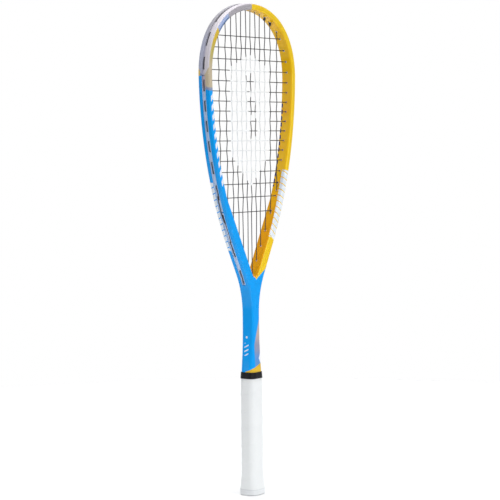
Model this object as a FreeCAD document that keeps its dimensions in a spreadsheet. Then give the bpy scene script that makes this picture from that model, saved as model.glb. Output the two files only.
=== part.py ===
import FreeCAD, Part
import math
import os
import Sketcher

# Squash racket, upright on its butt: +Z runs from the butt to the top of the head, X across
# the string bed and -Y out of the front face. The origin is the middle of the butt's underside.
# All lengths are in millimetres and all angles in degrees.

Vector = FreeCAD.Vector

DIMENSIONS = {
    # whole racket
    "overall_length": 686.0,
    # beam of the head: width is measured in the string plane, depth square to it
    "beam_width": 9.2,
    "beam_depth": 19.0,
    "edge_round": 3.0,
    "wall": 1.4,
    "channel_wall": 1.2,
    "hollow_edge_round": 1.6,
    # centreline of the head, from the crown down to the throat
    "crown_radius": 111.0,
    "crown_angle": 28.0,
    "shoulder_radius": 86.0,
    "shoulder_angle": 47.0,
    "flank_radius": 106.0,
    "flank_angle": 16.0,
    "side_radius": 527.0,
    "side_angle": 27.0,
    "arm_run": 40.0,
    "blend_radius": 116.9,
    # inner edge of the throat
    "inner_side_angle": 18.0,
    "inner_bend_radius": 80.0,
    "inner_bend_angle": 9.0,
    "throat_round": 6.0,
    # shaft, its flare and the tail inside the handle
    "shaft_width": 16.8,
    "shaft_top": 240.0,
    "flare_end": 176.0,
    "flare_width": 25.8,
    "flare_depth": 22.2,
    "flare_round": 7.5,
    "handle_top": 168.0,
    "tail_width": 19.0,
    "tail_depth": 17.0,
    "tail_round": 5.0,
    "tail_end": 12.0,
    "tail_overrun": 1.0,
    "plug_length": 14.0,
    "plug_sink": 0.5,
    # channel in the outer face and the strips in it
    "channel_width": 6.2,
    "channel_depth": 2.2,
    "channel_end_angle": 7.8,
    "bumper_thickness": 1.2,
    "bumper_end": 587.0,
    "bumper_taper_top": 603.0,
    "bumper_end_width": 7.4,
    "strip_width": 6.0,
    "strip_floor": 0.8,
    "strip_lip": 0.6,
    "string_way": 4.0,
    "strip_gap_angle": 0.2,
    "side_strip_angle": 20.4,
    "barrel_radius": 1.5,
    "bore_radius": 0.95,
    "tied_barrel_radius": 2.1,
    "tied_bore_radius": 1.45,
    "barrel_stand_out": 0.6,
    # strings
    "string_diameter": 1.2,
    "lane": 1.25,
    "weave_height": 0.64,
    "main_pitch": 10.6,
    "main_spread": 0.0097,
    "fan_height": 520.0,
    "fan_length": 4364.0,
    "top_cross_height": 640.0,
    "cross_pitch": 13.6,
    "top_cross_growth": 2.6,
    "low_cross_growth": 7.0,
    "knot_radius": 1.3,
    "knot_string_radius": 0.66,
    "knot_gap": 0.5,
    "knot_step": 1.15,
    # handle
    "pallet_end": 4.0,
    "rim_width": 33.0,
    "rim_depth": 29.0,
    "rim_round": 10.5,
    "rim_height": 8.5,
    "rim_edge_round": 2.0,
    "skirt_top": 34.0,
    "skirt_width": 27.4,
    "skirt_depth": 23.8,
    "skirt_foot_width": 31.2,
    "skirt_foot_depth": 27.2,
    "skirt_foot_round": 9.7,
    "skirt_round": 8.3,
    "rim_seam_height": 5.0,
    "rim_seam": 0.5,
    "rim_seam_depth": 0.8,
    "grip_flare_top": 38.0,
    "cap_floor": 3.5,
    "badge_width": 20.0,
    "badge_depth": 16.0,
    "badge_round": 6.4,
    "badge_thickness": 0.8,
    "badge_sink": 0.3,
    "grip_width": 29.0,
    "grip_depth": 25.0,
    "grip_round": 9.0,
    "grip_top": 163.6,
    "grip_taper": 4.0,
    "grip_end_taper": 1.0,
    "bore_step": 0.2,
    "tape_width": 27.6,
    "tape_depth": 24.0,
    "tape_round": 8.4,
    "collar_foot": 164.2,
    "collar_top": 173.0,
    "collar_foot_width": 29.4,
    "collar_foot_depth": 25.6,
    "collar_top_width": 27.8,
    "collar_top_depth": 24.4,
    "collar_top_round": 8.4,
    "collar_step": 0.5,
    "fit_gap": 0.05,
    "staple_wire": 0.6,
    "staple_span": 10.0,
    "staple_leg": 3.2,
    "staple_height": 25.0,
    "tack_span": 7.0,
    "tack_height": 13.0,
}

MAINS = 12
CROSSES = 17
KNOT_TURNS = 3

# Two ends of the main string are tied beside the second main from each side, and the ends of
# the cross string beside the tenth main at the crown and the third main at the throat.
MAIN_TIES = (1, 10)
CROSS_START_TIE = 9
CROSS_END_TIE = 2

# The gaps between crosses are even from the sixth to the eleventh, counted from the crown.
EVEN_GAP_FROM = 6
EVEN_GAP_TO = 10.9
LOW_GAP_POWER = 1.6

# The fan of the mains is measured between two heights, from a start in the middle of the head.
FAN_FOOT = 350.0
FAN_MIDDLE = 500.0
FAN_HEAD = 650.0

# Heights that part the holes of the bumper, the side strips and the throat strips.
SPLIT_UPPER = 590.0
SPLIT_LOWER = 400.0

# How far the lower main holes lean towards their strings; the outermost are nearly square and
# the two in the middle are between.
FOOT_LEAN = 0.7
END_MAIN_LEAN = 0.25
MIDDLE_MAIN_LEAN = 0.35

# Lengths of the straight lines that look for an edge across the head and through the beam.
HEAD_REACH = 400.0
BEAM_REACH = 60.0
CLOSE = 0.001
NEAR = 0.01

# A cross this far above the mouth of a main's lower hole is woven with that main.
CROSSING_CLEARANCE = 2.0

# How far cutting tools run past what they cut.
DRILL_OVERRUN = 3.0
BORE_OVERRUN = 4.0
SEAT_OVERRUN = 4.0

doc = FreeCAD.newDocument("squash_racket")
sheet = doc.addObject("Spreadsheet::Sheet", "Sizes")
for row, (alias, number) in enumerate(DIMENSIONS.items(), start=1):
    sheet.set("A%d" % row, alias)
    sheet.set("B%d" % row, str(number))
    sheet.setAlias("B%d" % row, alias)
doc.recompute()


# ---------------------------------------------------------------- sizes bound to the sheet

class Size:
    """A number that remembers the sheet formula it comes from."""

    def __init__(self, value, formula):
        self.value = float(value)
        self.formula = formula

    def joined(self, sign, other, value):
        other_formula = other.formula if isinstance(other, Size) else repr(float(other))
        return Size(value, "(%s %s %s)" % (self.formula, sign, other_formula))

    def __float__(self):
        return self.value

    def __add__(self, other):
        return self.joined("+", other, self.value + float(other))

    def __sub__(self, other):
        return self.joined("-", other, self.value - float(other))

    def __mul__(self, other):
        return self.joined("*", other, self.value * float(other))

    def __truediv__(self, other):
        return self.joined("/", other, self.value / float(other))


def cell(alias):
    return Size(getattr(sheet, alias), "Sizes." + alias)


def number(alias):
    return float(getattr(sheet, alias))


def bind(item, prop, size):
    item.setExpression(prop, size.formula)


NOTHING = Size(0.0, "0")
half_beam = cell("beam_width") / 2
crown_height = cell("overall_length") - half_beam
channel_floor = half_beam - cell("channel_depth")
strip_top = channel_floor + cell("strip_floor")
string_offset = float(strip_top) + number("string_diameter") / 2 + number("fit_gap")


# ---------------------------------------------------------------- chains of tangent pieces

class Chain:
    """Lines and arcs laid end to end in the string plane, each tangent to the one before."""

    def __init__(self, x, z, heading):
        self.x = x
        self.z = z
        self.heading = heading
        self.pieces = []

    def point(self):
        return Vector(self.x, self.z, 0)

    def line(self, name, length, bound=None):
        start = self.point()
        self.x += length * math.cos(math.radians(self.heading))
        self.z += length * math.sin(math.radians(self.heading))
        curve = Part.LineSegment(start, self.point())
        self.pieces.append({"name": name, "curve": curve, "ends": (1, 2), "length": bound})
        return self

    def arc(self, name, radius, angle, turn, free_radius=False, free_angle=False):
        """turn is 1 to the left (anticlockwise) and -1 to the right."""
        heading = math.radians(self.heading)
        reach = float(radius)
        centre = Vector(self.x - turn * reach * math.sin(heading),
                        self.z + turn * reach * math.cos(heading), 0)
        first = heading - turn * math.pi / 2
        last = first + turn * math.radians(float(angle))
        circle = Part.Circle(centre, Vector(0, 0, 1), reach)
        curve = Part.ArcOfCircle(circle, min(first, last), max(first, last))
        self.heading += turn * float(angle)
        heading = math.radians(self.heading)
        self.x = centre.x + turn * reach * math.sin(heading)
        self.z = centre.y - turn * reach * math.cos(heading)
        self.pieces.append({"name": name, "curve": curve, "ends": (1, 2) if turn > 0 else (2, 1),
                            "radius": None if free_radius else radius,
                            "angle": None if free_angle else angle})
        return self

    def wire(self, side):
        """The chain as a wire in the string plane, on the +X side (1) or the -X side (-1)."""
        edges = []
        for piece in self.pieces:
            edge = piece["curve"].toShape()
            edge.rotate(Vector(0, 0, 0), Vector(1, 0, 0), 90)
            edges.append(edge if side > 0 else edge.mirror(Vector(0, 0, 0), Vector(1, 0, 0)))
        return Part.Wire(edges)


def head_chain(offset):
    """The head from the crown to the end of its side, offset outwards from the centreline."""
    chain = Chain(0.0, float(crown_height + offset), 0.0)
    chain.arc("crown", cell("crown_radius") + offset, cell("crown_angle"), -1)
    chain.arc("shoulder", cell("shoulder_radius") + offset, cell("shoulder_angle"), -1)
    chain.arc("flank", cell("flank_radius") + offset, cell("flank_angle"), -1)
    return chain


def outer_chain(offset, shaft_half):
    """The outer edge down the arm and round into the side of the shaft."""
    chain = head_chain(offset)
    chain.arc("side", cell("side_radius") + offset, cell("side_angle"), -1)
    chain.line("arm", number("arm_run"), cell("arm_run"))
    lean = chain.heading + 90
    blend = (chain.x - float(shaft_half)) / (1 - math.cos(math.radians(lean)))
    chain.arc("blend", blend, -lean, 1, free_radius=True, free_angle=True)
    chain.line("shaft_side", chain.z - number("shaft_top"))
    return chain


def inner_chain(offset, tip_round):
    """The edge of the string opening from the crown down to the bottom of the throat."""
    chain = head_chain(offset)
    chain.arc("side", cell("side_radius") + offset, cell("inner_side_angle"), -1)
    chain.arc("bend", cell("inner_bend_radius") + offset + half_beam, cell("inner_bend_angle"), -1)
    lean = math.radians(chain.heading + 90)
    run = (chain.x - float(tip_round) * math.cos(lean)) / math.sin(-lean)
    chain.line("throat_side", run)
    chain.arc("tip", tip_round, 180 + chain.heading, -1, free_angle=True)
    return chain


def rail_chain(offset):
    """The outer edge cut where the strips end, down to the foot of the channel."""
    chain = head_chain(offset)
    radius = cell("side_radius") + offset
    gap = cell("strip_gap_angle")
    rest = cell("side_angle") - cell("side_strip_angle") - gap * 2
    chain.arc("upper_gap", radius, gap, -1)
    chain.arc("side_run", radius, cell("side_strip_angle"), -1)
    chain.arc("lower_gap", radius, gap, -1)
    chain.arc("side_rest", radius, rest, -1)
    chain.line("arm", number("arm_run"), cell("arm_run"))
    chain.arc("blend", cell("blend_radius") - offset + half_beam, cell("channel_end_angle"), 1)
    return chain


# ---------------------------------------------------------------- sketches and features

def origin_item(body, role):
    return [item for item in body.Origin.OriginFeatures if item.Role == role][0]


def new_body(name):
    body = doc.addObject("PartDesign::Body", name)
    body.Label = name
    return body


def new_sketch(body, name, plane, height=None):
    sketch = body.newObject("Sketcher::SketchObject", name)
    sketch.AttachmentSupport = [(origin_item(body, plane), "")]
    sketch.MapMode = "FlatFace"
    if height is not None:
        bind(sketch, "AttachmentOffset.Base.z", height)
    return sketch


def constrain(sketch, *arguments):
    return sketch.addConstraint(Sketcher.Constraint(*arguments))


def drive(sketch, name, size, *arguments, unit=""):
    """Adds a dimension and binds it to the sheet."""
    index = constrain(sketch, *arguments)
    sketch.renameConstraint(index, name)
    sketch.setExpression("Constraints." + name, size.formula + unit)


def draw_chain(sketch, chain, prefix, shown=None):
    """Draws a chain that starts on the axis; pieces not in shown are construction lines."""
    ends = []
    for piece in chain.pieces:
        hidden = shown is not None and piece["name"] not in shown
        index = sketch.addGeometry(piece["curve"], hidden)
        if ends:
            constrain(sketch, "Tangent", ends[-1][0], ends[-1][2], index, piece["ends"][0])
        ends.append((index, piece["ends"][0], piece["ends"][1]))
        name = prefix + piece["name"]
        if piece.get("length") is not None:
            drive(sketch, name + "_length", piece["length"], "Distance", index,
                  float(piece["length"]))
        if piece.get("radius") is not None:
            drive(sketch, name + "_radius", piece["radius"], "Radius", index,
                  float(piece["radius"]))
        if piece.get("angle") is not None:
            drive(sketch, name + "_angle", piece["angle"], "Angle", index,
                  math.radians(float(piece["angle"])), unit=" * 1 deg")
    first, start, _ = ends[0]
    constrain(sketch, "PointOnObject", first, start, -2)
    constrain(sketch, "PointOnObject", first, 3, -2)
    return ends


def set_top(sketch, end, name, height):
    drive(sketch, name, height, "DistanceY", -1, 1, end[0], end[1], float(height))


def join(sketch, start, finish):
    """A straight line between the free ends of two pieces, each given as (index, end)."""
    first = sketch.getPoint(*start)
    last = sketch.getPoint(*finish)
    index = sketch.addGeometry(Part.LineSegment(first, last), False)
    constrain(sketch, "Coincident", index, 1, *start)
    constrain(sketch, "Coincident", index, 2, *finish)
    return index


def pad(body, name, sketch, length, symmetric=False, backwards=False):
    feature = body.newObject("PartDesign::Pad", name)
    feature.Profile = sketch
    feature.Midplane = symmetric
    feature.Reversed = backwards
    bind(feature, "Length", length)
    return feature


def mirrored(body, name, feature):
    """Adds the other half, across the plane X = 0."""
    mirror = body.newObject("PartDesign::Mirrored", name)
    mirror.Originals = [feature]
    mirror.MirrorPlane = (origin_item(body, "YZ_Plane"), [""])
    body.Tip = mirror
    return mirror


def round_edges(body, name, feature, radius, wanted):
    doc.recompute()
    names = ["Edge%d" % (index + 1) for index, edge in enumerate(feature.Shape.Edges) if wanted(edge)]
    fillet = body.newObject("PartDesign::Fillet", name)
    fillet.Base = (feature, names)
    bind(fillet, "Radius", radius)
    return fillet


def rounded_rectangle(sketch, width, depth, corner):
    """A rectangle with round corners about the sketch's origin."""
    half_w = float(width) / 2
    half_d = float(depth) / 2
    turn = float(corner)
    chain = Chain(-half_w + turn, -half_d, 0.0)
    for run in (2 * (half_w - turn), 2 * (half_d - turn)) * 2:
        chain.line("side", run)
        chain.arc("corner", turn, 90.0, 1)
    lines = []
    arcs = []
    for piece in chain.pieces:
        index = sketch.addGeometry(piece["curve"], False)
        (lines if piece["name"] == "side" else arcs).append(index)
    for line, arc, following in zip(lines, arcs, lines[1:] + lines[:1]):
        constrain(sketch, "Tangent", line, 2, arc, 1)
        constrain(sketch, "Tangent", arc, 2, following, 1)
    for arc in arcs[1:]:
        constrain(sketch, "Equal", arcs[0], arc)
    constrain(sketch, "Horizontal", lines[0])
    constrain(sketch, "Vertical", lines[1])
    constrain(sketch, "Symmetric", arcs[0], 3, arcs[2], 3, -1, 1)
    drive(sketch, "corner", corner, "Radius", arcs[0], turn)
    drive(sketch, "width", width, "Distance", lines[3], 1, lines[1], 2 * half_w)
    drive(sketch, "depth", depth, "Distance", lines[0], 1, lines[2], 2 * half_d)


def section(body, name, width, depth, corner, height):
    sketch = new_sketch(body, name, "XY_Plane", height)
    rounded_rectangle(sketch, width, depth, corner)
    return sketch


def loft(body, name, sections, kind="PartDesign::AdditiveLoft", ruled=False):
    feature = body.newObject(kind, name)
    feature.Profile = sections[0]
    feature.Sections = sections[1:]
    feature.Ruled = ruled
    return feature


def at_depth(depth):
    """True for the edges of the front and back faces, apart from the foot of the shaft."""
    def wanted(edge):
        box = edge.BoundBox
        flat = abs(abs(box.YMin) - depth / 2) < CLOSE and box.YLength < CLOSE
        return flat and box.ZMax > number("shaft_top") + CLOSE
    return wanted


# ---------------------------------------------------------------- frame

def racket_form(name, outer, inner, inset, edge_round, tail_foot, tail_head):
    """The frame's form: outer and inner are offsets from the head's centreline."""
    body = new_body(name)
    shaft_half = cell("shaft_width") / 2 - inset
    tip_round = cell("throat_round") + inset
    depth = cell("beam_depth") - inset * 2

    half = new_sketch(body, name + "_half_outline", "XZ_Plane")
    outside = draw_chain(half, outer_chain(outer, shaft_half), "outer_")
    inside = draw_chain(half, inner_chain(inner, tip_round), "inner_")
    set_top(half, outside[0], "outer_top", crown_height + outer)
    set_top(half, inside[0], "inner_top", crown_height + inner)
    constrain(half, "Vertical", outside[-1][0])
    foot = half.addGeometry(Part.LineSegment(half.getPoint(outside[-1][0], outside[-1][2]),
                                             Vector(0, number("shaft_top"), 0)), False)
    constrain(half, "Coincident", foot, 1, outside[-1][0], outside[-1][2])
    constrain(half, "Horizontal", foot)
    constrain(half, "PointOnObject", foot, 2, -2)
    drive(half, "shaft_half", shaft_half, "DistanceX", foot, 2, foot, 1, float(shaft_half))
    drive(half, "shaft_top", cell("shaft_top"), "DistanceY", -1, 1, foot, 2, number("shaft_top"))
    constrain(half, "PointOnObject", inside[-1][0], inside[-1][2], -2)
    constrain(half, "PointOnObject", inside[-1][0], 3, -2)
    join(half, (foot, 2), (inside[-1][0], inside[-1][2]))
    join(half, (inside[0][0], inside[0][1]), (outside[0][0], outside[0][1]))

    slab = pad(body, name + "_slab", half, depth, symmetric=True)
    whole = mirrored(body, name + "_whole", slab)
    rounded = round_edges(body, name + "_rounded", whole, edge_round, at_depth(float(depth)))
    body.Tip = rounded

    steps = 4
    sections = []
    for step in range(steps + 1):
        part = step / steps
        ease = part * part
        height = cell("shaft_top") - (cell("shaft_top") - cell("flare_end")) * part
        width = cell("shaft_width") + (cell("flare_width") - cell("shaft_width")) * ease - inset * 2
        deep = cell("beam_depth") + (cell("flare_depth") - cell("beam_depth")) * ease - inset * 2
        corner = edge_round + (cell("flare_round") - inset - edge_round) * ease
        sections.append(section(body, "%s_flare_%d" % (name, step), width, deep, corner, height))
    loft(body, name + "_flare", sections)

    shoulder = cell("handle_top") + inset
    collar = section(body, name + "_shoulder", cell("flare_width") - inset * 2,
                     cell("flare_depth") - inset * 2, cell("flare_round") - inset, cell("flare_end"))
    pad(body, name + "_shoulder_run", collar, cell("flare_end") - shoulder, backwards=True)
    tail = section(body, name + "_tail", cell("tail_width") - inset * 2,
                   cell("tail_depth") - inset * 2, cell("tail_round") - inset, tail_foot)
    pad(body, name + "_tail_run", tail, tail_head - tail_foot)
    return body


def rail(name, low, high, first, last, width, both_sides=False):
    """A strip along the outer face from piece first to piece last of the rail."""
    body = new_body(name)
    sketch = new_sketch(body, name + "_outline", "XZ_Plane")
    names = [piece["name"] for piece in rail_chain(low).pieces]
    shown = names[names.index(first):names.index(last) + 1]
    under = draw_chain(sketch, rail_chain(low), "low_", shown)
    over = draw_chain(sketch, rail_chain(high), "high_", shown)
    set_top(sketch, under[0], "low_top", crown_height + low)
    set_top(sketch, over[0], "high_top", crown_height + high)
    for place, end in ((names.index(first), 1), (names.index(last), 2)):
        join(sketch, (under[place][0], under[place][end]), (over[place][0], over[place][end]))
    strip = pad(body, name + "_run", sketch, width, symmetric=True)
    if both_sides:
        mirrored(body, name + "_whole", strip)
    return body


def combine(kind, name, base, tool):
    item = doc.addObject(kind, name)
    item.Base = base
    item.Tool = tool
    item.Refine = False
    item.Label = name
    return item


def cut(name, base, tool):
    return combine("Part::Cut", name, base, tool)


def fuse(name, base, tool):
    return combine("Part::Fuse", name, base, tool)


def group(name, shapes):
    """Shapes whose places are worked out from the stringing, kept as one object."""
    item = doc.addObject("Part::Feature", name)
    item.Shape = shapes[0].multiFuse(shapes[1:]) if len(shapes) > 1 else shapes[0]
    item.Label = name
    return item


# ---------------------------------------------------------------- stringing

inner_edge = {side: inner_chain(half_beam * -1, cell("throat_round")).wire(side) for side in (1, -1)}
string_line = {side: rail_chain(Size(string_offset, repr(string_offset))).wire(side) for side in (1, -1)}


def main_x(index, height):
    """X of a main at a height: the mains spread outwards and fan towards the crown."""
    steps = index - (MAINS - 1) / 2
    count = abs(steps)
    spread = number("main_pitch") * count + number("main_spread") * count ** 4
    fan = 1 + (height - number("fan_height")) / number("fan_length")
    return math.copysign(spread, steps) * fan


def cross_heights():
    """Heights of the crosses from the top: even in the middle and wider apart at both ends."""
    heights = [number("top_cross_height")]
    for gap in range(1, CROSSES):
        from_top = max(0.0, (EVEN_GAP_FROM - gap) / (EVEN_GAP_FROM - 1))
        from_foot = max(0.0, (gap - EVEN_GAP_TO) / (CROSSES - 1 - EVEN_GAP_TO))
        step = number("cross_pitch")
        step += number("top_cross_growth") * from_top
        step += number("low_cross_growth") * from_foot ** LOW_GAP_POWER
        heights.append(heights[-1] - step)
    return heights


CROSS_Z = cross_heights()


def meeting(wire, start, direction, reach):
    """Where a line from start meets the wire, and the wire's direction there."""
    line = Part.makeLine(start, start + direction * reach)
    distance, points, details = wire.distToShape(line)
    if distance > NEAR:
        raise RuntimeError("the line from %s misses the edge" % start)
    kind, place, where = details[0][0:3]
    if kind == "Edge":
        tangent = wire.Edges[place].tangentAt(where)
    else:
        near = wire.Edges[0]
        for edge in wire.Edges:
            if edge.distToShape(Part.Vertex(points[0][0]))[0] < CLOSE:
                near = edge
        tangent = near.tangentAt(near.Curve.parameter(points[0][0]))
    return points[0][0], tangent


class Hole:
    """A string hole. Its axis lies between the square direction and the string's own.

    A lean of 1 halves that angle and 0 is square. lane is where a tied end passes beside the
    string, in front (-1), behind (1) or not at all (0).
    """

    def __init__(self, start, direction, side, lean=1.0, lane=0):
        self.inner, tangent = meeting(inner_edge[side], start, direction, HEAD_REACH)
        outward = Vector(tangent.z, 0, -tangent.x)
        if outward.dot(direction) < 0:
            outward = outward * -1
        self.axis = (outward.normalize() + direction * lean).normalize()
        self.outer = meeting(string_line[side], self.inner, self.axis, BEAM_REACH)[0]
        self.mouth = self.inner - self.axis * number("barrel_stand_out")
        self.side = side
        self.lane = Vector(0, lane * number("lane"), 0)

    def rod(self, single, double, before, after):
        """A round bar along the hole, wider and set over where a tied end shares the hole."""
        radius = double if self.lane.Length else single
        start = self.inner - self.axis * before + self.lane / 2
        length = (self.outer - self.inner).Length + before + after
        return Part.makeCylinder(radius, length, start, self.axis)


def main_direction(index):
    """The direction of a main, upwards."""
    low = Vector(main_x(index, FAN_FOOT), 0, FAN_FOOT)
    high = Vector(main_x(index, FAN_HEAD), 0, FAN_HEAD)
    return (high - low).normalize()


def main_holes():
    top = []
    foot = []
    for index in range(MAINS):
        side = 1 if index >= MAINS / 2 else -1
        start = Vector(main_x(index, FAN_MIDDLE), 0, FAN_MIDDLE)
        upwards = main_direction(index)
        lane = 1 if index in MAIN_TIES else -1 if index == CROSS_START_TIE else 0
        top.append(Hole(start, upwards, side, lane=lane))
        lean = FOOT_LEAN
        if index in (0, MAINS - 1):
            lean = END_MAIN_LEAN
        elif index in (MAINS // 2 - 1, MAINS // 2):
            lean = MIDDLE_MAIN_LEAN
        foot.append(Hole(start, upwards * -1, side, lean, -1 if index == CROSS_END_TIE else 0))
    return top, foot


def cross_holes():
    return {side: [Hole(Vector(0, 0, height), Vector(side, 0, 0), side) for height in CROSS_Z]
            for side in (1, -1)}


TOP_HOLES, FOOT_HOLES = main_holes()
CROSS_HOLES = cross_holes()


# Bend radii of the strings, how far a tied end reaches past the mouth of its hole, and the
# share of a straight run that one bend may take.
LOOP_BEND = 0.8
HOLE_BEND = 3.0
WEAVE_BEND = 3.0
TIED_REACH = 1.2
SHARE_OF_RUN = 0.45
LANE = Vector(0, number("lane"), 0)


def between(first, second):
    """The point of the channel midway between two holes."""
    if first.side != second.side:
        return Vector(0, 0, float(crown_height) + string_offset)
    middle = (first.outer + second.outer) * 0.5
    return string_line[first.side].distToShape(Part.Vertex(middle))[1][0][0]


def through(hole, inwards):
    """The two points where a string bends at a hole, in the order that it passes them."""
    points = [(hole.outer, LOOP_BEND), (hole.mouth, HOLE_BEND)]
    return points if inwards else points[::-1]


def tied_end(hole, inwards):
    """An end that passes beside the string in the hole, up to its knot."""
    end = hole.mouth - hole.axis * TIED_REACH
    points = [(hole.outer + hole.lane, LOOP_BEND), (end + hole.lane, 0.0)]
    return points if inwards else points[::-1]


def along_channel(holes, lane=0):
    """Points in the channel over the given holes, in front (-1) or behind (1) of their strings."""
    return [(hole.outer + LANE * lane, HOLE_BEND) for hole in holes]


def main_in_front(cross, main):
    return (cross + 1 + main) % 2 == 0


def crossings():
    """Every pair (cross, main) that meets inside the frame."""
    return [(cross, main) for cross in range(CROSSES) for main in range(MAINS)
            if CROSS_Z[cross] > FOOT_HOLES[main].mouth.z + CROSSING_CLEARANCE]


def weave_point(cross, main, is_main):
    height = number("weave_height")
    y = -height if main_in_front(cross, main) == is_main else height
    return (Vector(main_x(main, CROSS_Z[cross]), y, CROSS_Z[cross]), WEAVE_BEND)


def main_route():
    """Main string: from its knot over to the first main, down and up in turn, to its far knot."""
    first, last = MAIN_TIES
    route = tied_end(TOP_HOLES[first], inwards=False)
    route.append((between(TOP_HOLES[first], TOP_HOLES[0]), HOLE_BEND))
    for main in range(MAINS):
        downwards = main % 2 == 0
        weave = [weave_point(cross, main, True) for cross, other in crossings() if other == main]
        top = through(TOP_HOLES[main], downwards)
        foot = through(FOOT_HOLES[main], not downwards)
        route += top + weave + foot if downwards else foot + weave[::-1] + top
        if main == MAINS - 1:
            route.append((between(TOP_HOLES[main], TOP_HOLES[last]), HOLE_BEND))
        elif not downwards:
            route.append((between(TOP_HOLES[main], TOP_HOLES[main + 1]), HOLE_BEND))
        elif main == 0:
            route += along_channel(CROSS_HOLES[-1][-2:], 1)
        elif main == MAINS - 2:
            route += along_channel(CROSS_HOLES[1][:-3:-1], 1)
        elif FOOT_HOLES[main].side == FOOT_HOLES[main + 1].side:
            route.append((between(FOOT_HOLES[main], FOOT_HOLES[main + 1]), HOLE_BEND))
    return route + tied_end(TOP_HOLES[last], inwards=True)


def cross_route():
    """Cross string: from its knot at the crown, side to side down the head, to its knot below."""
    route = tied_end(TOP_HOLES[CROSS_START_TIE], inwards=False)
    route += along_channel(TOP_HOLES[CROSS_START_TIE + 1:], -1)
    for cross in range(CROSSES):
        leftwards = cross % 2 == 0
        weave = [weave_point(cross, main, False) for other, main in crossings() if other == cross]
        right = through(CROSS_HOLES[1][cross], leftwards)
        left = through(CROSS_HOLES[-1][cross], not leftwards)
        route += right + weave[::-1] + left if leftwards else left + weave + right
        holes = CROSS_HOLES[-1] if leftwards else CROSS_HOLES[1]
        if cross == CROSSES - 3:
            route += along_channel(FOOT_HOLES[:1], -1)
        elif cross < CROSSES - 1:
            route.append((between(holes[cross], holes[cross + 1]), HOLE_BEND))
    route += along_channel(FOOT_HOLES[1:2], -1)
    return route + tied_end(FOOT_HOLES[CROSS_END_TIE], inwards=True)


def rounded_path(route):
    """Straight runs through the points, joined by tangent arcs of at most the given radii."""
    points = [point for point, bend in route]
    edges = []
    here = points[0]
    for before, (corner, bend), after in zip(points, route[1:], points[2:]):
        arriving = (corner - before).normalize()
        leaving = (after - corner).normalize()
        turn = arriving.getAngle(leaving)
        if turn < CLOSE:
            continue
        room = SHARE_OF_RUN * min((corner - before).Length, (after - corner).Length)
        radius = min(bend, room / math.tan(turn / 2))
        back = radius * math.tan(turn / 2)
        start = corner - arriving * back
        finish = corner + leaving * back
        inside = (leaving - arriving).normalize()
        middle = corner + inside * (radius / math.cos(turn / 2) - radius)
        edges.append(Part.makeLine(here, start))
        edges.append(Part.Arc(start, middle, finish).toShape())
        here = finish
    edges.append(Part.makeLine(here, points[-1]))
    return Part.Wire(edges)


def knot(hole, towards):
    """Three turns of a string's end drawn tight round the string beside it."""
    wire = number("knot_string_radius")
    turns = []
    for turn in range(KNOT_TURNS):
        middle = hole.mouth + towards * (wire + number("knot_gap") + number("knot_step") * turn)
        turns.append(Part.makeTorus(number("knot_radius"), wire, middle, towards))
    return turns[0].multiFuse(turns[1:])


def string_piece(name, route, knots):
    """One round string on its whole route, with the knots at its ends."""
    path = rounded_path(route)
    radius = number("string_diameter") / 2
    first = path.Edges[0]
    ring = Part.Wire([Part.makeCircle(radius, first.valueAt(first.FirstParameter),
                                      first.tangentAt(first.FirstParameter))])
    solid = path.makePipeShell([ring], True, False, 1)
    expected = math.pi * radius ** 2 * path.Length
    print("%s: length %.0f mm, volume %.0f of %.0f mm3" % (name, path.Length, solid.Volume, expected))
    if abs(solid.Volume - expected) > NEAR * expected:
        raise RuntimeError(name + " isn't a plain round string")
    item = doc.addObject("Part::Feature", name)
    item.Shape = solid.multiFuse(knots)
    item.Label = name
    return item


# ---------------------------------------------------------------- frame and what is set in it

HEAD = ("crown", "flank")
SIDE = ("side_run", "side_run")
THROAT = ("side_rest", "blend")
PROUD = cell("beam_width")


def barrels(name, holes, before):
    return group(name, [hole.rod(number("barrel_radius"), number("tied_barrel_radius"), before, 0.0)
                        for hole in holes])


def bores(name, holes):
    return group(name, [hole.rod(number("bore_radius"), number("tied_bore_radius"), BORE_OVERRUN,
                                 BORE_OVERRUN) for hole in holes])


def bumper_plan():
    """A slab that gives the bumper its outline: its lower ends narrow to a tongue."""
    body = new_body("bumper_plan")
    sketch = new_sketch(body, "bumper_plan_outline", "YZ_Plane")
    end = number("bumper_end")
    shoulder = number("bumper_taper_top")
    top = number("overall_length") + SEAT_OVERRUN
    narrow = number("bumper_end_width") / 2
    wide = number("beam_depth") / 2 + SEAT_OVERRUN
    corners = [(-narrow, end), (narrow, end), (wide, shoulder), (wide, top), (-wide, top),
               (-wide, shoulder)]
    lines = [sketch.addGeometry(Part.LineSegment(Vector(*first, 0), Vector(*last, 0)), False)
             for first, last in zip(corners, corners[1:] + corners[:1])]
    for line, following in zip(lines, lines[1:] + lines[:1]):
        constrain(sketch, "Coincident", line, 2, following, 1)
    constrain(sketch, "Horizontal", lines[3])
    for line in (lines[2], lines[4]):
        constrain(sketch, "Vertical", line)
    constrain(sketch, "Symmetric", lines[0], 1, lines[0], 2, -2)
    constrain(sketch, "Symmetric", lines[2], 1, lines[4], 2, -2)
    drive(sketch, "end_width", cell("bumper_end_width"), "DistanceX", lines[0], 1, lines[0], 2,
          2 * narrow)
    drive(sketch, "full_width", cell("beam_depth") + 2 * SEAT_OVERRUN, "DistanceX", lines[3], 2,
          lines[3], 1, 2 * wide)
    drive(sketch, "end_height", cell("bumper_end"), "DistanceY", -1, 1, lines[0], 1, end)
    drive(sketch, "taper_height", cell("bumper_taper_top"), "DistanceY", -1, 1, lines[2], 1, shoulder)
    drive(sketch, "top_height", cell("overall_length") + SEAT_OVERRUN, "DistanceY", -1, 1,
          lines[2], 2, top)
    pad(body, "bumper_plan_run", sketch, cell("overall_length"), symmetric=True)
    return body


def overlap(name, base, tool):
    return combine("Part::Common", name, base, tool)


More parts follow.
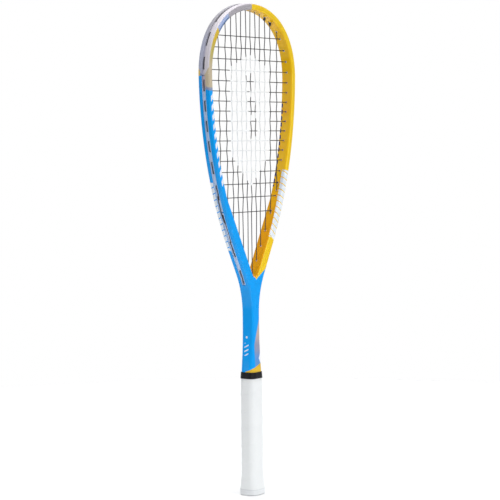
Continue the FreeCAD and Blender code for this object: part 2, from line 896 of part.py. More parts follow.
def make_frame(plan):
    """One hollow moulding: head, throat, shaft and the tail inside the handle."""
    skin = racket_form("frame_skin", half_beam, half_beam * -1, NOTHING, cell("edge_round"),
                       cell("tail_end"), cell("handle_top"))
    wall = cell("wall")
    hollow = racket_form("frame_hollow", channel_floor - cell("channel_wall"), wall - half_beam,
                         wall, cell("hollow_edge_round"), cell("tail_end") - cell("tail_overrun"),
                         cell("handle_top") + wall * 2)
    band = rail("bumper_seat_band", half_beam - cell("bumper_thickness"), half_beam + PROUD,
                *HEAD, cell("beam_depth") + SEAT_OVERRUN, both_sides=True)
    seat = overlap("bumper_seat", band, plan)
    channel = rail("string_channel", channel_floor, half_beam + PROUD, "crown", "blend",
                   cell("channel_width"), both_sides=True)
    holes = TOP_HOLES + FOOT_HOLES + CROSS_HOLES[1] + CROSS_HOLES[-1]
    drilled = group("string_holes", [
        hole.rod(number("barrel_radius") + number("fit_gap"),
                 number("tied_barrel_radius") + number("fit_gap"), DRILL_OVERRUN, 0.0)
        for hole in holes])
    moulding = cut("frame_moulding", skin, hollow)
    seated = cut("frame_seated", moulding, seat)
    channelled = cut("frame_channelled", seated, channel)
    return skin, cut("frame", channelled, drilled)


def holes_of(first, last):
    """The string holes whose outer ends lie between two heights, on both sides."""
    holes = TOP_HOLES + FOOT_HOLES + CROSS_HOLES[1] + CROSS_HOLES[-1]
    return [hole for hole in holes if first < hole.outer.z < last]


def rails(name, span, both_sides=False):
    """The floor of a flexible strip in the channel, and the way for the strings over it."""
    floor = rail(name + "_rail", channel_floor, half_beam - cell("strip_lip"), *span,
                 cell("strip_width"), both_sides)
    way = rail(name + "_string_way", strip_top, half_beam + PROUD, *span,
               cell("string_way"), both_sides)
    return floor, way


def make_strip(name, solid, way, holes):
    """A strip with its string way, and a sleeve through the frame round each string."""
    sleeves = barrels(name + "_sleeves", holes, number("barrel_stand_out"))
    grooved = cut(name + "_grooved", fuse(name + "_sleeved", solid, sleeves), way)
    return cut(name, grooved, bores(name + "_bores", holes))


def mirror_piece(name, source):
    item = doc.addObject("Part::Mirroring", name)
    item.Source = source
    item.Normal = Vector(1, 0, 0)
    item.Base = Vector(0, 0, 0)
    item.Label = name
    return item


def strip_pair(kind, span, low, high):
    """The strips of the right and the left arm, with the holes between two heights."""
    floor, way = rails(kind + "_strip", span)
    right = [hole for hole in holes_of(low, high) if hole.side > 0]
    left = [hole for hole in holes_of(low, high) if hole.side < 0]
    return [make_strip(kind + "_grommet_strip_right", floor, way, right),
            make_strip(kind + "_grommet_strip_left", mirror_piece(kind + "_strip_left_rail", floor),
                       mirror_piece(kind + "_strip_left_string_way", way), left)]


def make_bumper(skin, plan):
    """The guard over the crown and shoulders, flush with the rest of the outer face."""
    band = rail("bumper_band", half_beam - cell("bumper_thickness"), half_beam + PROUD, *HEAD,
                cell("beam_depth") + SEAT_OVERRUN, both_sides=True)
    shell = overlap("bumper_shell", skin, overlap("bumper_outline", band, plan))
    floor, way = rails("bumper", HEAD, both_sides=True)
    holes = holes_of(SPLIT_UPPER, number("overall_length"))
    return make_strip("head_bumper", fuse("bumper_joined", shell, floor), way, holes)


# ---------------------------------------------------------------- handle

def tube(name, sections, bore_sections):
    """A lofted body with a lofted bore, both given as lists of (width, depth, corner, height)."""
    body = new_body(name)
    outside = [section(body, "%s_outside_%d" % (name, index), *sizes)
               for index, sizes in enumerate(sections)]
    loft(body, name + "_outer", outside, ruled=True)
    inside = [section(body, "%s_inside_%d" % (name, index), *sizes)
              for index, sizes in enumerate(bore_sections)]
    loft(body, name + "_bore", inside, "PartDesign::SubtractiveLoft", ruled=True)
    return body


def grown(sizes, gap):
    """The same rounded section, larger by a gap on every side."""
    width, depth, corner = sizes
    return width + gap * 2, depth + gap * 2, corner + gap


GAP = cell("fit_gap")
HANDLE = (cell("flare_width"), cell("flare_depth"), cell("flare_round"))
TAIL = (cell("tail_width"), cell("tail_depth"), cell("tail_round"))
RIM = (cell("rim_width"), cell("rim_depth"), cell("rim_round"))
GRIP = (cell("grip_width"), cell("grip_depth"), cell("grip_round"))
SKIRT_FOOT = (cell("skirt_foot_width"), cell("skirt_foot_depth"), cell("skirt_foot_round"))
SKIRT_TOP = (cell("skirt_width"), cell("skirt_depth"), cell("skirt_round"))
TAPE = (cell("tape_width"), cell("tape_depth"), cell("tape_round"))


def staple(name, span, leg, place, turn):
    """A flat wire staple: a crown with two legs, which point along +Y before it is turned."""
    wire = cell("staple_wire")
    crown = doc.addObject("Part::Box", name + "_crown")
    bind(crown, "Length", span)
    bind(crown, "Width", wire)
    bind(crown, "Height", wire)
    bind(crown, "Placement.Base.x", span / -2)
    legs = []
    for side, offset in (("left", span / -2), ("right", span / 2 - wire)):
        item = doc.addObject("Part::Box", "%s_%s_leg" % (name, side))
        bind(item, "Length", wire)
        bind(item, "Width", leg)
        bind(item, "Height", wire)
        bind(item, "Placement.Base.x", offset)
        legs.append(item)
    whole = doc.addObject("Part::MultiFuse", name)
    whole.Shapes = [crown] + legs
    whole.Placement = FreeCAD.Placement(place, FreeCAD.Rotation(Vector(0, 0, 1), turn))
    return whole


def skirt_half(foot, top, height):
    """Half the size of the cap's skirt at a height."""
    share = (height - number("rim_height")) / (number("skirt_top") - number("rim_height"))
    return (number(foot) + (number(top) - number(foot)) * share) / 2


def make_staples():
    """Two staples that hold the butt cap on, front and back, and the tack at the tape's start."""
    height = number("staple_height")
    reach = skirt_half("skirt_foot_depth", "skirt_depth", height + number("staple_wire"))
    span = cell("staple_span")
    leg = cell("staple_leg")
    front = staple("front_staple", span, leg, Vector(0, -reach, height), 0)
    back = staple("back_staple", span, leg, Vector(0, reach, height), 180)
    pair = doc.addObject("Part::Compound", "butt_cap_staples")
    pair.Links = [front, back]
    pair.Label = "butt_cap_staples"
    height = number("tack_height")
    reach = skirt_half("skirt_foot_width", "skirt_width", height + number("staple_wire"))
    tack = staple("grip_tack", cell("tack_span"), leg, Vector(reach, 0, height), 90)
    tack.Label = "grip_tack"
    return pair, tack


def make_cap(staples, tack):
    """The butt cap: a rim with a fine seam round it, a skirt under the grip, and a socket."""
    body = new_body("cap_form")
    seam = cell("rim_seam_height")
    steps = ((NOTHING, seam, NOTHING), (seam, cell("rim_seam"), cell("rim_seam_depth")),
             (seam + cell("rim_seam"), cell("rim_height") - seam - cell("rim_seam"), NOTHING))
    for index, (foot, rise, inset) in enumerate(steps):
        sizes = (RIM[0] - inset, RIM[1] - inset, RIM[2] - inset / 2)
        disc = section(body, "rim_%d" % index, *sizes, foot)
        feature = pad(body, "rim_run_%d" % index, disc, rise)
        if index == 0:
            round_edges(body, "rim_rounded", feature, cell("rim_edge_round"),
                        lambda edge: edge.BoundBox.ZMax < CLOSE)
    skirt = [section(body, "skirt_foot", *SKIRT_FOOT, cell("rim_height")),
             section(body, "skirt_top", *SKIRT_TOP, cell("skirt_top"))]
    loft(body, "skirt", skirt, ruled=True)
    socket = [section(body, "socket_foot", *grown(HANDLE, GAP), cell("cap_floor")),
              section(body, "socket_top", *grown(HANDLE, GAP), cell("skirt_top"))]
    loft(body, "socket", socket, "PartDesign::SubtractiveLoft", ruled=True)
    recess = section(body, "badge_recess", cell("badge_width"), cell("badge_depth"),
                     cell("badge_round"), NOTHING)
    pocket = body.newObject("PartDesign::Pocket", "badge_pocket")
    pocket.Profile = recess
    pocket.Reversed = True
    bind(pocket, "Length", cell("badge_sink") + cell("badge_thickness"))
    return cut("butt_cap", cut("cap_stapled", body, staples), tack)


def make_badge():
    body = new_body("butt_badge")
    outline = section(body, "badge_outline", cell("badge_width") - GAP * 2,
                      cell("badge_depth") - GAP * 2, cell("badge_round") - GAP,
                      cell("badge_sink"))
    pad(body, "badge_run", outline, cell("badge_thickness"))
    return body


def make_pallet(staples, tack):
    """The moulded foam handle round the frame's tail."""
    body = tube("pallet_form", [HANDLE + (cell("pallet_end"),), HANDLE + (cell("handle_top"),)],
                [grown(TAIL, GAP) + (cell("pallet_end"),), grown(TAIL, GAP) + (cell("handle_top"),)])
    return cut("handle_pallet", cut("pallet_stapled", body, staples), tack)


def make_plug():
    """The foam plug in the open end of the frame's tail."""
    body = new_body("frame_tail_plug")
    wall = cell("wall") + GAP
    outline = section(body, "plug_outline", TAIL[0] - wall * 2, TAIL[1] - wall * 2, TAIL[2] - wall,
                      cell("tail_end") + cell("plug_sink"))
    pad(body, "plug_run", outline, cell("plug_length"))
    return body


def make_grip():
    """The wrapped grip as one sleeve: flared over the butt cap and tapered at its top."""
    foot = cell("rim_height") + GAP * 2
    outside = []
    steps = 4
    for step in range(steps + 1):
        part = step / steps
        ease = (1 - part) * (1 - part)
        sizes = tuple(small + (large - small) * ease for small, large in zip(GRIP, RIM))
        outside.append(sizes + (foot + (cell("grip_flare_top") - foot) * part,))
    outside.append(GRIP + (cell("grip_top") - cell("grip_taper"),))
    thinner = cell("grip_end_taper")
    outside.append((GRIP[0] - thinner, GRIP[1] - thinner, GRIP[2] - thinner / 2, cell("grip_top")))
    over_skirt = grown(SKIRT_TOP, GAP) + (cell("skirt_top"),)
    over_handle = grown(HANDLE, GAP)
    inside = [grown(SKIRT_FOOT, GAP) + (foot,), over_skirt,
              over_handle + (cell("skirt_top") + cell("bore_step"),), over_handle + (cell("grip_top"),)]
    return tube("grip_wrap", outside, inside)


def make_tape():
    """The finishing tape round the top of the handle, above the end of the grip."""
    inner = grown(HANDLE, GAP)
    return tube("finishing_tape", [TAPE + (cell("grip_top") + GAP,), TAPE + (cell("handle_top"),)],
                [inner + (cell("grip_top") + GAP,), inner + (cell("handle_top"),)])


def make_collar():
    """The rubber band rolled over the tape and the foot of the shaft's flare."""
    foot = (cell("collar_foot_width"), cell("collar_foot_depth"), cell("grip_round"),
            cell("collar_foot"))
    top = (cell("collar_top_width"), cell("collar_top_depth"), cell("collar_top_round"),
           cell("collar_top"))
    over_tape = grown(TAPE, GAP)
    over_frame = grown(HANDLE, GAP)
    inside = [over_tape + (cell("collar_foot"),), over_tape + (cell("handle_top") + GAP,),
              over_frame + (cell("handle_top") + cell("collar_step"),), over_frame + (cell("collar_top"),)]
    return tube("grip_collar", [foot, top], inside)


# ---------------------------------------------------------------- the assembly

plan = bumper_plan()
frame_skin, frame = make_frame(plan)
butt_cap_staples, grip_tack = make_staples()

PARTS = [
    frame,
    make_bumper(frame_skin, plan),
    *strip_pair("side", SIDE, SPLIT_LOWER, SPLIT_UPPER),
    *strip_pair("throat", THROAT, 0.0, SPLIT_LOWER),
    string_piece("main_string", main_route(),
                 [knot(TOP_HOLES[main], main_direction(main) * -1) for main in MAIN_TIES]),
    string_piece("cross_string", cross_route(),
                 [knot(TOP_HOLES[CROSS_START_TIE], main_direction(CROSS_START_TIE) * -1),
                  knot(FOOT_HOLES[CROSS_END_TIE], main_direction(CROSS_END_TIE))]),
    make_pallet(butt_cap_staples, grip_tack),
    make_plug(),
    make_cap(butt_cap_staples, grip_tack),
    make_badge(),
    butt_cap_staples,
    grip_tack,
    make_grip(),
    make_tape(),
    make_collar(),
]

doc.recompute()
for item in doc.Objects:
    if "Invalid" in item.State or "Error" in item.State:
        raise RuntimeError("%s failed: %s" % (item.Name, item.State))
os.makedirs("parts", exist_ok=True)
for item in PARTS:
    if item.Shape.isNull() or not item.Shape.isValid():
        raise RuntimeError(item.Label + " has no valid shape")
for item in PARTS:
    item.Shape.exportStep("parts/%s.step" % item.Label)
    box = item.Shape.BoundBox
    print("%-28s %2d solid(s) %9.0f mm3  X %.1f..%.1f  Y %.1f..%.1f  Z %.1f..%.1f" % (
        item.Label, len(item.Shape.Solids), item.Shape.Volume,
        box.XMin, box.XMax, box.YMin, box.YMax, box.ZMin, box.ZMax))
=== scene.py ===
import bmesh
import bpy
import math
from mathutils import Matrix, Vector


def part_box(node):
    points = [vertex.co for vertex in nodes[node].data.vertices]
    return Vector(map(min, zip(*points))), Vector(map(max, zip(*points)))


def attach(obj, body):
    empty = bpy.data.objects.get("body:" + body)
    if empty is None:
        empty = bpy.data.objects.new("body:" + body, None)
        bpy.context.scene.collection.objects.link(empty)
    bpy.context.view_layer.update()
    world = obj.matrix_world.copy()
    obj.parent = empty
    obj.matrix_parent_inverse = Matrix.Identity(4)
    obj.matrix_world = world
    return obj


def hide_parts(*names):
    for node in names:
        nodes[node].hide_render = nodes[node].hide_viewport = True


# Squash racket, upright on its butt. Lengths are in metres, except inside the paint and texture
# nodes, which work in millimetres.

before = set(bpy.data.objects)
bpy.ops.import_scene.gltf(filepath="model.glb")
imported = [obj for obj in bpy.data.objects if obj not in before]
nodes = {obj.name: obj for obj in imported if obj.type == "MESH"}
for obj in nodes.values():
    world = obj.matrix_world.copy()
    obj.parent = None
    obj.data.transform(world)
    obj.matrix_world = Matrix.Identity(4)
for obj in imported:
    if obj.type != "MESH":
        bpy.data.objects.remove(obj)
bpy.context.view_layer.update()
scene = bpy.context.scene
scene.view_settings.view_transform = "Standard"

MM = 0.001


# ------------------------------------------------------------------ camera

AZIMUTH = math.radians(-54.0)
ELEVATION = math.radians(3.4)
ROLL = math.radians(-0.6)
DISTANCE = 2.5656
AIM = Vector((-0.00025, 0.0, 0.3438))
SENSOR = 36.0
LENS = 132.2
FAR_CLIP = 50.0


def make_camera():
    back = Vector((math.sin(AZIMUTH) * math.cos(ELEVATION),
                   -math.cos(AZIMUTH) * math.cos(ELEVATION), math.sin(ELEVATION)))
    right = Vector((0, 0, 1)).cross(back).normalized()
    up = back.cross(right)
    rolled_right = right * math.cos(ROLL) + up * math.sin(ROLL)
    rolled_up = up * math.cos(ROLL) - right * math.sin(ROLL)
    data = bpy.data.cameras.new("camera")
    data.lens = LENS
    data.sensor_width = SENSOR
    data.clip_end = FAR_CLIP
    camera = bpy.data.objects.new("camera", data)
    matrix = Matrix((rolled_right, rolled_up, back)).transposed().to_4x4()
    matrix.translation = AIM + back * DISTANCE
    camera.matrix_world = matrix
    scene.collection.objects.link(camera)
    scene.camera = camera


make_camera()


# ------------------------------------------------------------------ studio

# The softboxes face the racket's middle, at this height.
LIT_HEIGHT = 0.35
FLOOR_RADIUS = 1.25
FLOOR_SIDES = 96
# The floor lies just under the butt, so that the two faces do not meet.
FLOOR_DROP = 0.0002


def area_light(name, azimuth, elevation, distance, size, power):
    """A square softbox that faces the racket; azimuth 0 is in front of its front face."""
    turn = math.radians(azimuth)
    lift = math.radians(elevation)
    back = Vector((math.sin(turn) * math.cos(lift), -math.cos(turn) * math.cos(lift),
                   math.sin(lift)))
    data = bpy.data.lights.new(name, "AREA")
    data.shape = "SQUARE"
    data.size = size
    data.energy = power
    light = bpy.data.objects.new(name, data)
    light.location = Vector((0, 0, LIT_HEIGHT)) + back * distance
    light.rotation_mode = "QUATERNION"
    light.rotation_quaternion = back.to_track_quat("Z", "Y")
    scene.collection.objects.link(light)


def make_lights():
    area_light("key_softbox", -4, 20, 3.0, 1.8, 31)
    area_light("edge_softbox", -38, 6, 3.4, 0.35, 9)
    area_light("left_softbox", -122, 14, 3.0, 1.4, 6)
    area_light("back_softbox", 150, 30, 3.2, 1.8, 22)
    area_light("top_softbox", 0, 89, 3.0, 3.2, 92)


def make_world():
    """White where the camera looks past the racket; soft grey, lighter on one side, elsewhere."""
    world = bpy.data.worlds.new("studio")
    scene.world = world
    world.use_nodes = True
    tree = world.node_tree
    tree.nodes.clear()
    out = tree.nodes.new("ShaderNodeOutputWorld")
    white = tree.nodes.new("ShaderNodeBackground")
    white.inputs["Color"].default_value = (1, 1, 1, 1)
    white.inputs["Strength"].default_value = 1.0
    surround = tree.nodes.new("ShaderNodeBackground")
    surround.inputs["Strength"].default_value = 1.0
    where = tree.nodes.new("ShaderNodeTexCoord")
    lean = tree.nodes.new("ShaderNodeVectorMath")
    lean.operation = "DOT_PRODUCT"
    lean.inputs[1].default_value = (0.50, 0.25, 0.60)
    tree.links.new(where.outputs["Generated"], lean.inputs[0])
    ramp = tree.nodes.new("ShaderNodeValToRGB")
    ramp.color_ramp.elements[0].position = 0.0
    ramp.color_ramp.elements[0].color = (0.08, 0.08, 0.08, 1)
    ramp.color_ramp.elements[1].position = 1.0
    ramp.color_ramp.elements[1].color = (0.42, 0.43, 0.45, 1)
    shift = tree.nodes.new("ShaderNodeMapRange")
    shift.inputs["From Min"].default_value = -1.0
    shift.inputs["From Max"].default_value = 1.0
    tree.links.new(lean.outputs["Value"], shift.inputs["Value"])
    tree.links.new(shift.outputs["Result"], ramp.inputs["Fac"])
    tree.links.new(ramp.outputs["Color"], surround.inputs["Color"])
    path = tree.nodes.new("ShaderNodeLightPath")
    mix = tree.nodes.new("ShaderNodeMixShader")
    tree.links.new(path.outputs["Is Camera Ray"], mix.inputs["Fac"])
    tree.links.new(surround.outputs[0], mix.inputs[1])
    tree.links.new(white.outputs[0], mix.inputs[2])
    tree.links.new(mix.outputs[0], out.inputs["Surface"])


def make_floor():
    turns = [2 * math.pi * i / FLOOR_SIDES for i in range(FLOOR_SIDES)]
    ring = [(FLOOR_RADIUS * math.cos(turn), FLOOR_RADIUS * math.sin(turn), 0) for turn in turns]
    mesh = bpy.data.meshes.new("floor")
    mesh.from_pydata(ring, [], [list(range(FLOOR_SIDES))])
    floor = bpy.data.objects.new("floor", mesh)
    floor.location.z = -FLOOR_DROP
    scene.collection.objects.link(floor)
    material = bpy.data.materials.new("floor")
    material.use_nodes = True
    shader = material.node_tree.nodes["Principled BSDF"]
    shader.inputs["Base Color"].default_value = (0.93, 0.93, 0.93, 1)
    shader.inputs["Roughness"].default_value = 1.0
    shader.inputs["Specular IOR Level"].default_value = 0.0
    floor.data.materials.append(material)


make_lights()
make_world()
make_floor()


# ------------------------------------------------------------------ shader fields

class Field:
    """A number worked out by shader nodes at each point of a surface."""

    def __init__(self, paint, socket):
        self.paint = paint
        self.socket = socket

    def math(self, operation, *others):
        node = self.paint.tree.nodes.new("ShaderNodeMath")
        node.operation = operation
        for slot, value in zip(node.inputs, (self,) + others):
            self.paint.feed(slot, value)
        return Field(self.paint, node.outputs[0])

    def __add__(self, other):
        return self.math("ADD", other)

    __radd__ = __add__

    def __mul__(self, other):
        return self.math("MULTIPLY", other)

    __rmul__ = __mul__

    def __sub__(self, other):
        return self.math("SUBTRACT", other)

    def __rsub__(self, other):
        return (self * -1) + other

    def __truediv__(self, other):
        return self.math("DIVIDE", other)

    def abs(self):
        return self.math("ABSOLUTE")

    def low(self, other):
        return self.math("MINIMUM", other)

    def high(self, other):
        return self.math("MAXIMUM", other)

    def root(self):
        return self.math("SQRT")

    def wave(self):
        return self.math("SINE")

    def cycle(self, length):
        """The remainder after whole lengths, centred on 0."""
        return self.math("WRAP", length / 2, -length / 2)

    def over(self, edge, soft=0.12):
        """0 below an edge and 1 above it, with a soft step."""
        node = self.paint.tree.nodes.new("ShaderNodeMapRange")
        node.interpolation_type = "SMOOTHSTEP"
        self.paint.feed(node.inputs["Value"], self - edge if isinstance(edge, Field) else self)
        middle = 0.0 if isinstance(edge, Field) else edge
        node.inputs["From Min"].default_value = middle - soft
        node.inputs["From Max"].default_value = middle + soft
        return Field(self.paint, node.outputs["Result"])

    def under(self, edge, soft=0.12):
        return 1 - self.over(edge, soft)

    def between(self, first, last, soft=0.12):
        return self.over(first, soft) * self.under(last, soft)

    def near(self, middle, half, soft=0.12):
        return (self - middle).abs().under(half, soft)


def srgb(red, green, blue):
    """A colour given as on screen, from 0 to 255, as the shader needs it."""
    return tuple((c / 255 / 12.92 if c <= 10 else ((c / 255 + 0.055) / 1.055) ** 2.4)
                 for c in (red, green, blue)) + (1.0,)


class Paint:
    """A material and the fields and colours that make it up."""

    def __init__(self, name, **settings):
        self.material = bpy.data.materials.new(name)
        self.material.use_nodes = True
        self.tree = self.material.node_tree
        self.shader = self.tree.nodes["Principled BSDF"]
        for key, value in settings.items():
            self.shader.inputs[key.replace("_", " ")].default_value = value
        coords = self.tree.nodes.new("ShaderNodeTexCoord")
        self.place = coords.outputs["Object"]
        split = self.tree.nodes.new("ShaderNodeSeparateXYZ")
        self.tree.links.new(self.place, split.inputs[0])
        self.x, self.y, self.z = (Field(self, socket) * 1000 for socket in split.outputs)
        facing = self.tree.nodes.new("ShaderNodeSeparateXYZ")
        self.tree.links.new(coords.outputs["Normal"], facing.inputs[0])
        self.nx, self.ny, self.nz = (Field(self, socket) for socket in facing.outputs)

    def feed(self, slot, value):
        if isinstance(value, Field):
            self.tree.links.new(value.socket, slot)
        elif hasattr(value, "node"):
            self.tree.links.new(value, slot)
        else:
            slot.default_value = value

    def mix(self, mask, below, above):
        """The colour above laid over the colour below where the mask is 1."""
        node = self.tree.nodes.new("ShaderNodeMix")
        node.data_type = "RGBA"
        self.feed(node.inputs["Factor"], mask)
        self.feed(node.inputs[6], below)
        self.feed(node.inputs[7], above)
        return node.outputs[2]

    def noise(self, size, detail=2.0, rough=0.5, stretch=(1, 1, 1)):
        """Noise from 0 to 1 with grains of about the given size in millimetres."""
        place = self.tree.nodes.new("ShaderNodeMapping")
        place.inputs["Scale"].default_value = [1000 / size * s for s in stretch]
        self.tree.links.new(self.place, place.inputs["Vector"])
        node = self.tree.nodes.new("ShaderNodeTexNoise")
        node.inputs["Scale"].default_value = 1.0
        node.inputs["Detail"].default_value = detail
        node.inputs["Roughness"].default_value = rough
        self.tree.links.new(place.outputs[0], node.inputs["Vector"])
        return Field(self, node.outputs["Fac"])

    def cells(self, size, feature="F1"):
        """Distance within small cells of about the given size in millimetres."""
        node = self.tree.nodes.new("ShaderNodeTexVoronoi")
        node.feature = feature
        node.inputs["Scale"].default_value = 1000 / size
        self.tree.links.new(self.place, node.inputs["Vector"])
        return Field(self, node.outputs["Distance"])

    def colour(self, value):
        self.feed(self.shader.inputs["Base Color"], value)

    def rough(self, value):
        self.feed(self.shader.inputs["Roughness"], value)

    def bump(self, height, depth):
        """Relief from a field of heights from 0 to 1 that stand for the given depth in mm."""
        node = self.tree.nodes.new("ShaderNodeBump")
        node.inputs["Strength"].default_value = 1.0
        node.inputs["Distance"].default_value = depth * MM
        self.feed(node.inputs["Height"], height)
        self.tree.links.new(node.outputs[0], self.shader.inputs["Normal"])


def wear(node, paint):
    """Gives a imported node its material."""
    data = nodes[node].data
    data.materials.clear()
    data.materials.append(paint.material)


# ------------------------------------------------------------------ frame paint

# The side arcs of the head are centred here, given for the right arm, with their centreline's
# radius; the face across the beam is measured from that line.
ARC_X = -428.5
ARC_Z = 594.6
ARC_RADIUS = 527.0
# The crown's and the shoulder's arcs in the same way, and where one takes over from the other.
CROWN = (0.0, 570.4, 111.0)
SHOULDER = (11.7, 592.5, 86.0)
CROWN_SLOPE = 0.532
HALF_DEPTH = 9.5

# Where the paint changes, as heights: the gold's point at the throat, the top of the blue on the
# front and on the back, the foot of the lilac patch and the foot of the silver.
THROAT_POINT = 302.5
FRONT_BLUE_TOP = 564.0
BACK_BLUE_TOP = 584.0
SLIVER_HEIGHT = 10.0
PATCH_FOOT = 645.5
SILVER_FOOT = 666.0
# The slanted bars and the strokes: from one to the next, and half of one's width.
BAR_PITCH = 9.0
BAR_HALF = 3.8
STROKE_PITCH = 13.0
STROKE_HALF = 3.6
# The stencil on the strings: the height of its windows' middle, and from one window to the next.
WINDOW_MIDDLE = 543.0
WINDOW_PITCH = 32.0


def frame_paint():
    p = Paint("frame_paint", Specular_IOR_Level=0.12, Coat_Weight=0.30, Coat_Roughness=0.06)
    x, y, z = p.x, p.y, p.z
    aside = x.abs()
    reach = ((aside - ARC_X) * (aside - ARC_X) + (z - ARC_Z) * (z - ARC_Z)).root()
    across = reach - ARC_RADIUS
    along = (ARC_Z - z).math("ARCTAN2", aside - ARC_X) * ARC_RADIUS

    def off_arc(arc):
        return ((aside - arc[0]) * (aside - arc[0]) + (z - arc[1]) * (z - arc[1])).root() - arc[2]

    crown = (aside - (z - CROWN[1]) * CROWN_SLOPE).under(0.0)
    head_across = off_arc(SHOULDER) + crown * (off_arc(CROWN) - off_arc(SHOULDER))
    right = x.over(0.0)
    left = 1 - right
    front = y.under(0.0)

    # distances round the beam's section: from the front corners and from the back corners
    front_inner = across - (y + HALF_DEPTH)
    back_inner = across - (HALF_DEPTH - y)
    back_outer = across + (HALF_DEPTH - y)

    blue = srgb(0, 163, 250)
    gold = srgb(240, 196, 16)
    light_gold = srgb(246, 206, 34)
    # the next three deeper golds are painted shade for the inner faces of the gold arm
    shaded_deep_gold = srgb(250, 182, 0)
    shaded_amber = srgb(252, 198, 12)
    throat_shaded_ochre = srgb(240, 162, 0)
    tan = srgb(202, 188, 160)
    olive = srgb(192, 178, 96)
    yellow = srgb(216, 184, 62)
    lilac = srgb(172, 188, 226)
    steel = srgb(98, 126, 172)
    silver = srgb(176, 172, 178)
    grey = srgb(140, 156, 190)
    white = srgb(236, 244, 252)
    navy = srgb(28, 44, 112)

    # left side of the head, from the blue arm up to the silver crown
    waver = (p.noise(9.0, 1.0) - 0.5) * 3.0
    back_half = y.over(0.0, 1.5)
    blue_end = (y + HALF_DEPTH) * 0.3 + FRONT_BLUE_TOP
    blue_end = blue_end + back_half * (BACK_BLUE_TOP - blue_end)
    head = p.mix(z.over(606.0, 14.0), tan, olive)
    head = p.mix(z.over(626.0, 9.0), head, yellow)
    patch = (z - head_across * 1.1).over(PATCH_FOOT, 0.5)
    head = p.mix(patch, head, lilac)
    head = p.mix(patch * head_across.under(-0.8, 0.8), head, steel)
    head = p.mix((z - head_across * 0.8).over(SILVER_FOOT, 1.5), head, silver)
    colour = p.mix((z - blue_end).over(0.0, 0.4), blue, grey)
    colour = p.mix((z - blue_end + waver * 0.3).over(4.0, 1.6), colour, head)

    # sliver of gold on the left arm's back edge, at the bumper's end
    sliver_run = z.between(BACK_BLUE_TOP, BACK_BLUE_TOP + SLIVER_HEIGHT, 0.4)
    sliver = left * y.over(6.0, 0.4) * sliver_run
    colour = p.mix(sliver, colour, gold)

    # right side of the head and its end in a point at the throat
    golden = (x + (z - 560.0).under(0.0, 1.0) * -3.0).over(-3.0, 0.2)
    golden = golden * (z - x * 0.6).over(THROAT_POINT, 0.3)
    shade = p.noise(26.0, 2.0).between(0.35, 0.75, 0.2)
    # painted shade: faces turned inward, towards the strings, take deeper golds, and deeper still low down
    # towards the throat
    inward_painted_shade = (p.nx * x + p.nz * (z - 520.0)).under(0.0, 4.0) * p.ny.abs().under(0.7, 0.15)
    shaded_inner_gold = p.mix(shade, shaded_deep_gold, shaded_amber)
    shaded_inner_gold = p.mix(z.under(410.0, 60.0), shaded_inner_gold, throat_shaded_ochre)
    gold_mix = p.mix(inward_painted_shade, p.mix(shade, gold, light_gold), shaded_inner_gold)
    colour = p.mix(golden, colour, gold_mix)

    # slanted white strokes on the left arm's front inner edge
    down_face = front_inner * -1 - 1.4
    stroke = (along + down_face * 0.9).cycle(STROKE_PITCH).near(0.0, STROKE_HALF)
    stroke = stroke * down_face.near(0.4, 3.6)
    run = along.between(32.0, 164.0, 0.2)
    face = across.under(3.4, 0.2)
    colour = p.mix(stroke * run * left * front * face, colour, white)

    # slanted white bars round the left arm's back outer edge
    bars = (along + back_outer * 0.45).cycle(BAR_PITCH)
    bar = bars.near(0.0, BAR_HALF) * back_outer.between(-0.3, 10.6)
    run = along.between(156.0, 258.0, 0.2)
    colour = p.mix(bar * run * left * (1 - front), colour, white)

    # the same bars on the right arm's front
    bars = (along - front_inner * 0.3 + 1.0).cycle(BAR_PITCH)
    bar = bars.near(0.0, BAR_HALF) * front_inner.between(-10.8, 4.4)
    run = along.between(143.0, 246.0, 0.2)
    colour = p.mix(bar * run * right * front, colour, white)
    bars = (along + back_outer * 0.45).cycle(BAR_PITCH)
    bar = bars.near(0.0, 3.6) * back_outer.near(1.2, 3.0) * across.over(-3.0)
    run = along.between(156.0, 231.0, 0.2)
    colour = p.mix(bar * run * right * (1 - front), colour, white)

    # dark blue dashes on the right arm's inner face, near its back edge
    dash = (along + back_inner * 0.4).cycle(9.2).near(0.0, 2.9) * back_inner.near(-6.6, 1.9)
    run = along.between(46.0, 168.0, 0.2)
    colour = p.mix(dash * run * right * (1 - front), colour, navy)

    # wedge on the lower shaft: tan to light blue, with a white corner and a yellow foot
    wedge = p.mix(z.under(218.0, 9.0), srgb(196, 176, 168), srgb(150, 154, 180))
    wedge = p.mix(z.under(199.0, 9.0), wedge, srgb(96, 150, 214))
    inside = (x + ((247.0 - z) * 0.34).low(12.0)).over(6.6, 1.2)
    round_side = y + HALF_DEPTH + (z - 252.0) * 0.28
    colour = p.mix(inside * z.between(160.0, 262.0) * round_side.under(0.0, 0.3), colour, wedge)
    corner = (x - 3.6 - (z - 189.0 + y * 0.3).abs() * 0.5).over(0.0, 0.3) * y.under(5.0, 0.3)
    colour = p.mix(corner, colour, white)
    side = x.under(-8.0, 0.3)
    foot = x * 0.39 + 182.3 - (side + x.over(8.0, 0.3)) * (y + HALF_DEPTH) * 0.3
    wrap = y.under(1.0, 0.4).high(x.over(0.0, 1.0))
    colour = p.mix((z - foot).under(0.0, 0.3) * wrap, colour, srgb(232, 190, 56))

    # small white marks on the shaft's left face
    up = z.between(196.0, 214.0)
    mark = (z + y * 0.5).cycle(6.0).near(0.0, 0.9) * y.near(1.0, 3.4) * up
    dot = ((z - 222.0) * (z - 222.0) + (y - 1.0) * (y - 1.0)).root()
    mark = mark.high(dot.under(1.6))
    colour = p.mix(mark * x.under(-5.0), colour, white)

    # pearl flakes in the lacquer
    flake = p.cells(0.35).under(0.32, 0.1) * 0.012
    colour = p.mix(flake, colour, srgb(255, 255, 255))
    p.colour(colour)
    p.rough(p.noise(40.0, 3.0) * 0.10 + 0.24)
    p.bump(p.noise(1.6, 1.0), 0.006)
    return p


# ------------------------------------------------------------------ other materials

